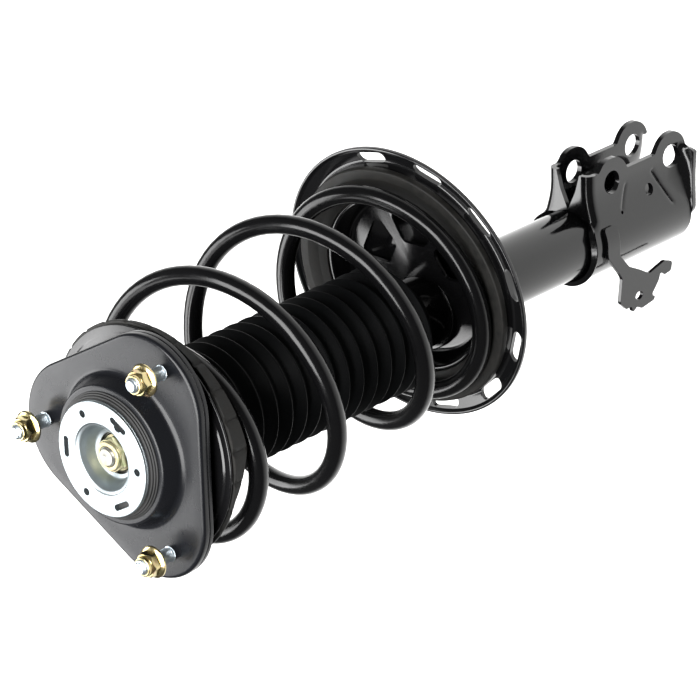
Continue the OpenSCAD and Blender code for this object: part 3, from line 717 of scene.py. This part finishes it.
# %% [markdown]
# ## Upper spring seat and its pad
#
# The seat is a shallow pressed ring under the mount, and the rubber pad below it carries
# the spring. The wire's tip is pulled inwards and its first turn descends, so the pad has a
# wedge that follows the wire down, and its rim is notched every 15 degrees.

# %% Upper seat
SEAT_UNDER = -18.5
profile = rounded([(26, -25.8, 0.6), (45, -25.8, 2.5), (51, -16, 2.5), (73.5, -16, 1),
                   (75, -16.7, 1), (80, -16.7, 0.8), (80, -19, 0.4), (78, -19, 0.2),
                   (78, SEAT_UNDER, 0.2), (52.4, SEAT_UNDER, 2.5), (46.4, -28.3, 2.5),
                   (26, -28.3, 0.6)])
install(turned("pressed_upper_seat", profile, sides=160), gloss_paint, "upper_spring_seat")

# %% The wire's path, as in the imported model
WIRE_R = 6.75
COIL_TURNS = 3.95
COIL_HEIGHT = 242.4
COIL_TOP = -28.2
COIL_START = math.radians(110)
FIRST_PITCH = 50
SLOW_START = COIL_TURNS - 1.14
BODY_MID, FIRST_MID, SLOW_MID = 1.195, 0.26, SLOW_START + 0.5
COIL_PITCH = (COIL_HEIGHT - FIRST_PITCH * (BODY_MID - FIRST_MID)) / (SLOW_MID - BODY_MID)
TIP_R, FIRST_R = 64, 78.7  # the first turn widens as it leaves the pad
TOP_R, BOTTOM_R, BULGE = 87, 76.5, 3  # the body is a barrel that narrows downwards
SEAT_X, SEAT_SIDE = 26.3, 1.5
TOP_X_MID, BOTTOM_X_MID, LEAN_BOW = -5, SEAT_X - 3.3, 8  # and its own axis is bowed
SEAT_LEAN = math.radians(8.8)
LEAN_AZ = math.radians(195)


def ramped(turns, width):
    """Turns travelled since a descent began that takes width turns to build up."""
    if turns <= 0:
        return 0
    return turns * turns / (2 * width) if turns < width else turns - width / 2


def coil_drop(u):
    """How far the wire has come down after u turns."""
    first = FIRST_PITCH * ramped(u - 0.2, 0.12)
    body = (COIL_PITCH - FIRST_PITCH) * ramped(u - 0.945, 0.5)
    return first + body - COIL_PITCH * ramped(u - SLOW_START, 1)


def bowed(a, b, bow, f):
    """Goes from a to b as f goes from 0 to 1, bowed out half-way."""
    return a + (b - a) * f + 4 * bow * f * (1 - f)


def wire_point(u):
    """Middle of the wire after u turns."""
    drop = coil_drop(u)
    f = drop / COIL_HEIGHT
    az = COIL_START - TURN * u
    spread = smoothstep(0.75, 1.12, u)
    pigtail = TIP_R + (FIRST_R - TIP_R) * smoothstep(0.3, 0.6, u)
    r = pigtail + (bowed(TOP_R, BOTTOM_R, BULGE, f) - pigtail) * spread
    x = spread * bowed(TOP_X_MID, BOTTOM_X_MID, LEAN_BOW, f) + r * math.cos(az)
    y = SEAT_SIDE * f + r * math.sin(az)
    slope = (x - SEAT_X) * math.cos(LEAN_AZ) + (y - SEAT_SIDE) * math.sin(LEAN_AZ)
    return Vector((x, y, COIL_TOP - drop - f * math.tan(SEAT_LEAN) * slope))


# %% Pad
PAD_BOTTOM, PAD_RIM = -21.3, -19.1
WEDGE_END, WEDGE_CLOSED = 0.53, 0.6  # in turns from the wire's tip
WEDGE_DEPTH = 0.8  # as a share of how far the wire has come down


def pad_underside(az):
    """The pad's lower face, with the wedge that follows the wire."""
    u = ((COIL_START - az) / TURN) % 1
    if u < WEDGE_END:
        return PAD_BOTTOM - WEDGE_DEPTH * coil_drop(u)
    left = max(0, WEDGE_CLOSED - u) / (WEDGE_CLOSED - WEDGE_END)
    return PAD_BOTTOM - WEDGE_DEPTH * coil_drop(WEDGE_END) * left


def notched(radius, depth):
    """A radius with a narrow notch every 15 degrees."""
    step = TURN / 24
    offset = math.radians(9)

    def value(az):
        away = abs((az - offset + step / 2) % step - step / 2) * radius
        return radius - depth * max(0, 1 - away / 1.6)

    return value


def between(fraction):
    """A height part of the way from the pad's underside up to its rim."""
    return lambda az: pad_underside(az) + fraction * (PAD_RIM - pad_underside(az))


rim = notched(82, 1.3)
profile = [(53.35, SEAT_UNDER), (77.8, SEAT_UNDER), (78, PAD_RIM), (notched(81.6, 1), PAD_RIM),
           (rim, PAD_RIM - 0.4)]
profile += [(rim, between(f)) for f in (0.75, 0.5, 0.25)]
profile += [(rim, lambda az: pad_underside(az) + 0.5), (81.4, pad_underside),
            (56.8, pad_underside), (56.35, lambda az: pad_underside(az) - 0.5), (56.35, -31.8),
            (55.8, -32.3), (53.9, -32.3), (53.35, -31.8)]
install(turned("upper_pad", profile, sides=240), pad_rubber, "upper_insulator")

# %% [markdown]
# ## Coil spring
#
# A circle is carried along the wire's path and extruded at every step. The ring is held
# square to the path, so the wire keeps its round section. The spring changes its length as
# the strut moves: its top turns with the upper seat and its bottom rides on the damper. A
# weight between the two bodies is worked out for each whole ring of the wire, but nothing
# applies it, so the wire keeps the shape it is lofted in.

# %% Coil spring
RINGS_PER_TURN, WIRE_SIDES = 64, 20
count = round(COIL_TURNS * RINGS_PER_TURN)
stations = [COIL_TURNS * i / count for i in range(count + 1)]
rings, ring_weight = [], []
for index, u in enumerate(stations):
    ahead = (wire_point(u + 0.002) - wire_point(u - 0.002)).normalized()
    az = COIL_START - TURN * u
    side = ahead.cross(Vector((math.cos(az), math.sin(az), 0))).normalized()
    out = side.cross(ahead)
    radius = WIRE_R - 0.8 * (index in (0, count))  # the cut ends are slightly chamfered
    rings.append([wire_point(u) + radius * (math.cos(p) * out + math.sin(p) * side)
                  for p in (TURN * k / WIRE_SIDES for k in range(WIRE_SIDES))])
    ring_weight.append(min(max(coil_drop(u) / COIL_HEIGHT, 0), 1))
coil = loft("spring_wire", rings, capped=True)
install(coil, spring_coat, "coil_spring", rides=False)


def weigh(piece):
    """Bakes a piece's placement into its mesh; it gives no weights and bends nothing."""
    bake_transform(piece)


weigh(coil)

# %% [markdown]
# ## Bellows and bump stop
#
# The bellows is blown in a mould: every fold has a tight crest, a slightly softer valley
# and nearly flat flanks between them. Like the spring, it is given no weights and keeps its shape.

# %% Bellows
boot_low, boot_high = (corner.z for corner in span("dust_boot"))
FOLDS, CREST_R, VALLEY_R, WALL = 16, 46.5, 38.5, 1.6
folds_top, folds_end = boot_high - 6, boot_low + 12
fold = (folds_top - folds_end) / FOLDS
outer = [(VALLEY_R, boot_high, 0), (VALLEY_R, folds_top, 0.8)]
inner = []
for i in range(FOLDS):
    start, middle, end = (folds_top - (i + part) * fold for part in (0, 0.5, 1))
    outer += [(CREST_R, middle, 0.7), (VALLEY_R, end, 1.2)]
    inner += [(VALLEY_R - WALL, start, 0), (CREST_R - WALL, middle, 0)]
outer += [(29.5, folds_end - 4, 1), (29.5, boot_low, 0.5), (28.1, boot_low, 0.3),
          (28.1, folds_end - 2.5, 0.5), (VALLEY_R - WALL, folds_end + 1, 0.5)]
profile = rounded(outer + inner[::-1] + [(VALLEY_R - WALL, boot_high, 0)], steps=3)
boot = turned("bellows", profile, sides=96)
install(boot, boot_rubber, "dust_boot", rides=False)
weigh(boot)

# %% Bump stop
stop_low, stop_high = (corner.z for corner in span("bump_stop"))
LOBES = 4
lobe_height = (stop_high - stop_low - 6) / LOBES
profile = [(11, stop_high, 0), (19, stop_high, 1)]
for i in range(LOBES):
    crest, top = 21 - 0.9 * i, stop_high - 2  # each lobe is a little thinner than the last
    profile += [(crest, top - (i + 0.12) * lobe_height, 3),
                (crest, top - (i + 0.72) * lobe_height, 3),
                (crest - 4, top - (i + 0.86) * lobe_height, 2)]
profile += [(15, stop_low + 2, 1), (13.5, stop_low, 0.8), (11, stop_low, 0)]
install(turned("bump_buffer", rounded(profile), sides=64), foam, "bump_stop")

# %% [markdown]
# ## Lower spring seat
#
# A deep pressed dish, set off to the side of the tube and leaning, because the wheel's load
# doesn't act along the damper. It's turned in its own upright frame, slotted and pierced
# there, and only then leaned into place, where the tube's hole is cut through it. A shallow
# pan below stiffens its floor, and a collar holds both to the tube.

# %% Place of the lower seat
TUBE_R = 25.5
SEAT_TO_WIRE = 11.05  # from the middle of the wire down to the seat's own zero height
wire_end = COIL_TOP - COIL_HEIGHT
seat_centre = Vector((SEAT_X, SEAT_SIDE, wire_end - SEAT_TO_WIRE / math.cos(SEAT_LEAN)))
on_seat = (Matrix.Translation(seat_centre * MM) @ Matrix.Rotation(LEAN_AZ, 4, "Z")
           @ Matrix.Rotation(SEAT_LEAN, 4, "Y") @ Matrix.Rotation(-LEAN_AZ, 4, "Z"))


def around_tube(piece):
    """Leans a piece of the seat into place and cuts the hole that the tube passes through."""
    placed(piece, on_seat)
    bore = post("tube_bore", TUBE_R + 0.05, 0, 0, seat_centre.z - 60, seat_centre.z + 40, 96)
    return cut(piece, [bore])


# %% Dish
profile = rounded([(0, -13, 0), (61, -13, 5), (64.4, 3.6, 1.4), (67.4, 3.6, 0.8), (67.4, 1, 0.8),
                   (85.6, 1, 1), (85.6, 6.5, 1.3), (88.8, 6.5, 1.4), (91, -4.6, 2), (100, -0.8, 2),
                   (102, 1.4, 0.9), (103.8, 1.4, 0.8), (103.8, -1.6, 0.8), (100.8, -3.8, 2),
                   (90.4, -7.6, 2), (87.1, -2, 2), (66.8, -2, 1.5), (63.8, -16, 5), (0, -16, 0)],
                  closed=False)
seat = turned("spring_dish", profile, sides=192, closed=False)
cutters = [slot_cutter(f"slot_{i}", 95.4, 4.1, 12.2, math.radians(12 - 30 * i), -12, 6, 3.6)
           for i in range(7)]
cutters += [slot_cutter(f"window_{i}", 36.5, 12.5, 15.3, math.radians(az), -22, -8, 6)
            for i, az in enumerate((-62, 0, 62))]
install(around_tube(cut(seat, cutters)), gloss_paint, "lower_spring_seat")

# %% Pan and collar
profile = rounded([(0, -27, 0), (36, -27, 6), (52, -16.6, 5), (62, -16.6, 0.6), (62, -15, 0),
                   (50, -14.4, 5), (34.6, -24.6, 5), (0, -24.6, 0)], closed=False)
pan = turned("seat_pan", profile, sides=128, closed=False)
install(around_tube(pan), gloss_paint, "lower_spring_seat")
collar_low, collar_high = seat_centre.z - 34, seat_centre.z - 14
profile = rounded([(25.6, collar_low, 0), (27, collar_low, 0.5), (28.5, collar_low + 2, 1),
                   (28.5, collar_high, 0.8), (25.6, collar_high, 0)])
install(turned("seat_collar", profile), gloss_paint, "lower_spring_seat")

# %% Lower pad, with a lip over the dish's rim
profile = rounded([(67.5, 1, 0), (85.5, 1, 0), (85.5, 6.6, 0.5), (88.9, 6.6, 0.5), (89.8, 3, 0.2),
                   (90.6, 3, 0.3), (90, 7.4, 1.4), (83, 7.6, 3), (75, 5.4, 3), (67.5, 4.4, 0.8)])
pad = placed(turned("lower_pad", profile, sides=128), on_seat)
install(pad, pad_rubber, "lower_insulator")

# %% [markdown]
# ## Damper tube
#
# A drawn tube, crimped in at the top over the seal and closed at the bottom. It shows from
# the spring seat down to the bracket, where its gloss mirrors everything around it.

# %% Damper tube
tube_low, tube_high = (corner.z for corner in span("strut_tube"))
profile = rounded([(23, tube_low, 0.4), (TUBE_R, tube_low, 0.8), (TUBE_R, tube_high, 1.5),
                   (14, tube_high, 0.5), (14, tube_high - 2, 0.3), (23, tube_high - 2, 0.5)])
install(turned("damper_tube", profile, sides=128), gloss_paint, "strut_tube")

# %% [markdown]
# ## Knuckle bracket
#
# The bracket is one sheet, 4 mm thick: it wraps round the tube and runs out into two ears.
# Along the bottom the sheet is rolled outwards in a deep scoop, and at the top the ears'
# edges are folded in towards each other. A grid is laid out along the sheet's middle: its
# columns follow the plan from one ear round the tube to the other, and its rows climb from
# the rolled edge to the folded one. Solidify then gives it its wall, and round punches cut
# the holes.

# %% Plan of the sheet
SHEET_T = 4
EAR_Y, WRAP_R, EAR_START = 17.7, 27.5, 46.0
EAR_COLUMNS, BEND_COLUMNS, WRAP_COLUMNS = 12, 36, 21
BRACKET_LOW = tube_low - 5
BRACKET_TOP = BRACKET_LOW + 113
WRAP_TOP = BRACKET_TOP + 5.5
BOLT_X, BOLT_LOW = 44.9, BRACKET_LOW + 16.8
BOLT_HIGH = BOLT_LOW + 69.5
WRAP_START = math.radians(75)
SWEEP = 14  # how softly an ear runs into the wrap


def half_plan():
    """Plan of one half, from the ear's front to the back: x, y, the normal, and how far
    the column lies from the ear's start (0) to its front edge (1)."""
    columns = [(EAR_START, EAR_Y, 0, 1, 1 - k / EAR_COLUMNS) for k in range(EAR_COLUMNS + 1)]
    across, along = math.cos(WRAP_START), math.sin(WRAP_START)
    start, end = Vector((EAR_START, EAR_Y)), WRAP_R * Vector((across, along))
    first = start - Vector((SWEEP, 0))
    second = end + SWEEP * Vector((along, -across))
    for k in range(1, BEND_COLUMNS + 1):
        t = k / BEND_COLUMNS
        s = 1 - t
        point = s**3 * start + 3 * s * s * t * first + 3 * s * t * t * second + t**3 * end
        run = s * s * (first - start) + 2 * s * t * (second - first) + t * t * (end - second)
        run.normalize()
        columns.append((point.x, point.y, run.y, -run.x, 0))
    for k in range(1, WRAP_COLUMNS + 1):
        az = WRAP_START + (math.pi - WRAP_START) * k / WRAP_COLUMNS
        x, y = math.cos(az), math.sin(az)
        columns.append((WRAP_R * x, WRAP_R * y, x, y, 0))
    return columns


half = half_plan()
plan = [(x, -y, nx, -ny, ahead) for x, y, nx, ny, ahead in half] + half[-2::-1]
print("columns in the plan:", len(plan))

# %% [markdown]
# The ears' front edges carry two round lobes, one for each bolt. The edge is the larger of
# the two circles and a straight line, with a soft change between them, and the grid's front
# columns are stretched out to meet it, so no cut is needed there.

# %% Front edge of the ears
LOBE_R = 18.5
WAIST_X, TOP_X = 50.5, 55.5  # the edge between the lobes, and where it ends at the top


def lobe(z, middle):
    """How far forward a round lobe reaches at a height."""
    inside = LOBE_R**2 - (z - middle) ** 2
    return BOLT_X + math.sqrt(inside) if inside > 0 else BOLT_X - 4


def softer(a, b, width=3.0):
    """The larger of two values, with a soft change between them."""
    return 0.5 * (a + b + math.sqrt((a - b) ** 2 + width * width))


def front_edge(z):
    """Where an ear ends at a height."""
    x = max(softer(softer(WAIST_X, lobe(z, BOLT_HIGH)), lobe(z, BOLT_LOW)), EAR_START)
    x = min(x, BOLT_X + LOBE_R)
    if z < BOLT_LOW - 6:
        x = lobe(max(z, BOLT_LOW - 18), BOLT_LOW)
    return x + (TOP_X - x) * smoothstep(BRACKET_TOP - 17, BRACKET_TOP - 8, z)


# %% Pressed lines
# Straight stiffening lines are pressed into each ear: from, to and depth, as (x, height).
PRESSED = [((39.4, 38.7), (11.6, 22.7), 1.3), ((38.0, 70.7), (22.5, 79.0), 0.7)]
PRESSED_WIDTH = 1.3


def pressed_in(x, z):
    """How far the sheet is pushed in at a place on the ear."""
    sink = 0
    for start, end, depth in PRESSED:
        start, end = Vector(start), Vector(end)
        place, line = Vector((x, z - BRACKET_LOW)), end - start
        t = min(max((place - start).dot(line) / line.length_squared, 0), 1)
        away = (place - start - line * t).length
        sink = max(sink, depth * math.exp(-((away / PRESSED_WIDTH) ** 2)))
    return sink


# %% Rows of the sheet
CURL_ROWS, WALL_ROWS, BEND_ROWS, FOLD_ROWS = 9, 84, 6, 4
CURL_HEIGHT = [(7, 4.5), (9, 5), (17, 14), (27.6, 22), (38, 17), (47, 8), (52, 4)]
CURL_OUT, FAR_LIP = 31.5, 3.0
FOLD_Z = BRACKET_TOP - 2
FOLD_BEND = 5.5
HOLLOW_R = TUBE_R + 0.2  # the folded edges stop just short of the tube
NOTCH = [(HOLLOW_R, 0.4), (27.5, 0.4), (42, 7), (53, 10), (66, 13)]


def upper_rows(x, y, nx, ny, top_x, depth, bend):
    """The top of a column: folded in on an ear, and straight up with a small flare behind."""
    points = []
    folding = smoothstep(11, 23, x)
    side = 1 if y > 0 else -1
    start = FOLD_Z - bend
    for k in range(BEND_ROWS + FOLD_ROWS + 1):
        if k <= BEND_ROWS:
            angle = TURN / 4 * k / BEND_ROWS
            step_in, height = bend * (1 - math.cos(angle)), start + bend * math.sin(angle)
        else:
            step_in, height = bend + (depth - bend) * (k - BEND_ROWS) / FOLD_ROWS, FOLD_Z
        folded = Vector((top_x, y - side * step_in, height))
        rise = k / (BEND_ROWS + FOLD_ROWS)
        flare = 1.8 * max(0, rise - 0.6) / 0.4
        straight = Vector((x + nx * flare, y + ny * flare, start + (WRAP_TOP - start) * rise))
        points.append(tuple(straight.lerp(folded, folding)))
    return points


def column(x, y, nx, ny, ahead):
    """The points of one column, from the rolled lower edge up to the folded upper edge."""
    front = smoothstep(0.05, 0.6, ahead)
    reach = (CURL_OUT - abs(y)) * (1 - front) * smoothstep(-7, 3, x)
    if y > 0:
        reach = min(reach, FAR_LIP)
    low = BRACKET_LOW + 2 - 3 * smoothstep(0.3, 0.9, ahead)
    curl = table(CURL_HEIGHT, x + 6 * ahead)
    points = []

    def stretched(z):
        return x + ahead * (front_edge(z) - EAR_START)

    for k in range(CURL_ROWS):
        angle = TURN / 4 * (1 - k / CURL_ROWS)
        out = reach * (1 - math.cos(angle))
        z = low + curl * (1 - math.sin(angle))
        points.append((stretched(z) + nx * out, y + ny * out, z))
    top_x = stretched(FOLD_Z)
    on_wrap = abs(x) < HOLLOW_R
    inner = max(math.sqrt(HOLLOW_R**2 - x * x), 0.4) if on_wrap else table(NOTCH, top_x)
    depth = max(abs(y) - inner, 0.5)
    bend = min(FOLD_BEND, depth * 0.8)
    for k in range(WALL_ROWS):
        z = low + curl + (FOLD_Z - bend - low - curl) * k / WALL_ROWS
        sink = pressed_in(x, z)
        points.append((stretched(z) - nx * sink, y - ny * sink, z))
    return points + upper_rows(x, y, nx, ny, top_x, depth, bend)


# %% Lay the sheet out and give it its wall
sheet = [column(*place) for place in plan]
rows = len(sheet[0])
bpy.ops.object.select_all(action="DESELECT")
bpy.ops.mesh.primitive_grid_add(x_subdivisions=len(sheet) - 1, y_subdivisions=rows - 1, size=1)
bracket = bpy.context.object
bracket.name = bracket.data.name = "two_eared_bracket"
for vertex in bracket.data.vertices:
    i = round((vertex.co.x + 0.5) * (len(sheet) - 1))
    j = round((vertex.co.y + 0.5) * (rows - 1))
    vertex.co = Vector(sheet[i][j]) * MM
tidy(bracket)
modified(bracket, "SOLIDIFY", thickness=SHEET_T * MM, offset=0, use_even_offset=True)
tidy(bracket)
print("sheet with its wall:", len(bracket.data.polygons), "faces")

# %% Holes and broken edges
BOLT_HOLE_R = 8.75


def round_punch(name, radius, x, z, y0=-60, y1=60, stretch=1.0):
    """A round or oval cutter that goes through the bracket along Y."""
    angles = [TURN * k / 48 for k in range(48)]
    ring = [(x + radius * math.cos(a), z + radius * stretch * math.sin(a)) for a in angles]
    return loft(name, [[(px, y, pz) for px, pz in ring] for y in (y0, y1)], capped=True)


def break_edges(piece, width):
    """Takes the sharpness off the sheared edges."""
    modified(piece, "BEVEL", width=width * MM, segments=2, limit_method="ANGLE",
             angle_limit=math.radians(50))


cut(bracket, [round_punch("bolt_low", BOLT_HOLE_R, BOLT_X, BOLT_LOW),
              round_punch("bolt_high", BOLT_HOLE_R, BOLT_X, BOLT_HIGH),
              round_punch("side_hole", 4.5, 27.8, (BOLT_LOW + BOLT_HIGH) / 2 - 6, y1=0),
              round_punch("small_hole", 1.3, 20.5, BRACKET_LOW + 80, y1=0)])
break_edges(bracket, 0.6)
bpy.ops.object.shade_smooth_by_angle(angle=SMOOTH_ANGLE)
install(bracket, gloss_paint, "knuckle_bracket")
print("bracket:", len(bracket.data.polygons), "faces")

# %% [markdown]
# ## Brake hose tab
#
# A small pressing welded to the back of the bracket. It's a flat outline with its thickness,
# sliced across where it has to bend, and wrapped round the bracket's curve there.

# %% Outline of the tab
hose_level = BRACKET_TOP + 10
TAB_T = 3
WRAP_OUT = 31.0  # radius of the middle of the tab where it lies on the wrap
outline = rounded([(16, -17, 3), (-6, -17, 6), (-22, -30, 4), (-27, -33.5, 4), (-46, -31, 4),
                   (-53, -38.5, 2), (-52.5, -44.5, 1.5), (-58.3, -46.2, 1.5), (-55, -51, 1.5),
                   (-58, -57, 3), (-56, -71, 2), (-53.5, -73, 1), (-51, -69, 1.5), (-42, -77, 4),
                   (-36.2, -79.5, 1.4), (-39.8, -84, 1.2), (-38.8, -92, 3), (-31.5, -93.5, 3),
                   (-28.5, -84, 5), (-33, -66, 6), (-26.5, -55, 6), (-20, -42, 6), (-8, -31, 6),
                   (16, -31, 3)])
faces = [[(x, y, z + hose_level) for x, z in outline] for y in (-TAB_T / 2, TAB_T / 2)]
tab = loft("hose_tab", faces, capped=True)
cut(tab, [round_punch("hose_hole", 3.2, -46.7, hose_level - 53.5, -10, 10, stretch=1.3)])
break_edges(tab, 0.5)

# %% Wrap the tab round the bracket
bpy.ops.object.mode_set(mode="EDIT")
for x in range(-8, 16, 2):
    bpy.ops.mesh.select_all(action="SELECT")
    bpy.ops.mesh.bisect(plane_co=(x * MM, 0, 0), plane_no=(1, 0, 0))
bpy.ops.object.mode_set(mode="OBJECT")
for vertex in tab.data.vertices:
    x, y, z = vertex.co / MM
    if x > 0:
        angle = x / WRAP_OUT
        x, y = (WRAP_OUT - y) * math.sin(angle), -(WRAP_OUT - y) * math.cos(angle)
    else:
        y -= WRAP_OUT
    vertex.co = Vector((x, y, z)) * MM
tidy(tab)
install(tab, gloss_paint, "brake_hose_tab")

# %% Finish
visual_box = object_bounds()
for side, cad, visual in zip("low high".split(), cad_box, visual_box):
    print(side, [round(v * 1000, 1) for v in cad], [round(v * 1000, 1) for v in visual])
